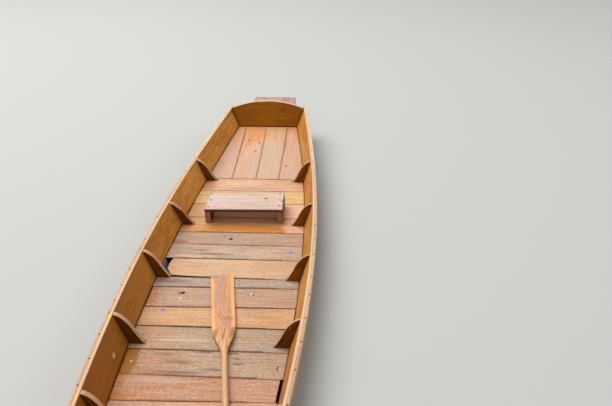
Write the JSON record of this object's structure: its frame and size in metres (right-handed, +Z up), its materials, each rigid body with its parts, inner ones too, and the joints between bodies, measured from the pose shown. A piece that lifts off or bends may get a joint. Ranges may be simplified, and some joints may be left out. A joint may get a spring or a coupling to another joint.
{
  "type": "flat-bottomed wooden rowboat",
  "caption": "Long open wooden boat with a flat bottom that runs out as a platform beyond both arched transoms, knees along its sides, loose floorboards, a low stool and a paddle.",
  "frame": {"origin": "underside of the flat middle of the bottom, at half the boat's length and width", "axes": "+Y along the boat towards the end beside the stool, +Z up, +X to the right when looking along +Y"},
  "size_m": [1.1116, 6.24, 0.408],
  "materials": {
    "bottom_wood": "weathered bare hardwood",
    "side_wood": "oiled hardwood, worn",
    "rail_wood": "weathered bare hardwood",
    "transom_wood": "oiled hardwood, worn",
    "frame_wood": "bare hardwood, damp",
    "knee_wood": "oiled hardwood, worn",
    "floor_wood": "weathered bare hardwood",
    "stool_wood": "weathered bare hardwood",
    "paddle_wood": "worn bare hardwood"
  },
  "bodies": {
    "hull": {"bottom_plank_left": "bottom_wood", "bottom_plank_middle": "bottom_wood", "bottom_plank_right": "bottom_wood", "tongue_far": "bottom_wood", "tongue_near": "bottom_wood", "side_plank_left": "side_wood", "side_plank_right": "side_wood", "rail_left": "rail_wood", "rail_right": "rail_wood", "transom_far": "transom_wood", "transom_near": "transom_wood", "floor_timber_1": "frame_wood", "floor_timber_2": "frame_wood", "floor_timber_3": "frame_wood", "floor_timber_4": "frame_wood", "floor_timber_5": "frame_wood", "cleat_far": "frame_wood", "cleat_near": "frame_wood", "bearer_left": "frame_wood", "bearer_right": "frame_wood", "knee_1_left": "knee_wood", "knee_1_right": "knee_wood", "knee_2_left": "knee_wood", "knee_2_right": "knee_wood", "knee_3_left": "knee_wood", "knee_3_right": "knee_wood", "knee_4_left": "knee_wood", "knee_4_right": "knee_wood", "knee_5_left": "knee_wood", "knee_5_right": "knee_wood", "floorboard_01": "floor_wood", "floorboard_02": "floor_wood", "floorboard_03": "floor_wood", "floorboard_04": "floor_wood", "floorboard_05": "floor_wood", "floorboard_06": "floor_wood", "floorboard_07": "floor_wood", "floorboard_08": "floor_wood", "floorboard_09": "floor_wood", "floorboard_10": "floor_wood", "floorboard_11": "floor_wood", "floorboard_12": "floor_wood", "floorboard_13": "floor_wood", "floorboard_14": "floor_wood", "floorboard_15": "floor_wood", "end_board_far_1": "floor_wood", "end_board_far_2": "floor_wood", "end_board_far_3": "floor_wood", "end_board_far_4": "floor_wood", "end_board_near_1": "floor_wood", "end_board_near_2": "floor_wood", "end_board_near_3": "floor_wood", "end_board_near_4": "floor_wood"},
    "stool": {"stool_top": "stool_wood", "stool_leg_left": "stool_wood", "stool_leg_right": "stool_wood"},
    "paddle": {"paddle": "paddle_wood"}
  },
  "joints": [
    {"name": "stool_lift", "type": "slide", "parent": "hull", "child": "stool", "axis": [0, 0, 1], "range_m": [0, 0.5]},
    {"name": "paddle_lift", "type": "slide", "parent": "hull", "child": "paddle", "axis": [0, 0, 1], "range_m": [0, 0.5]}
  ]
}
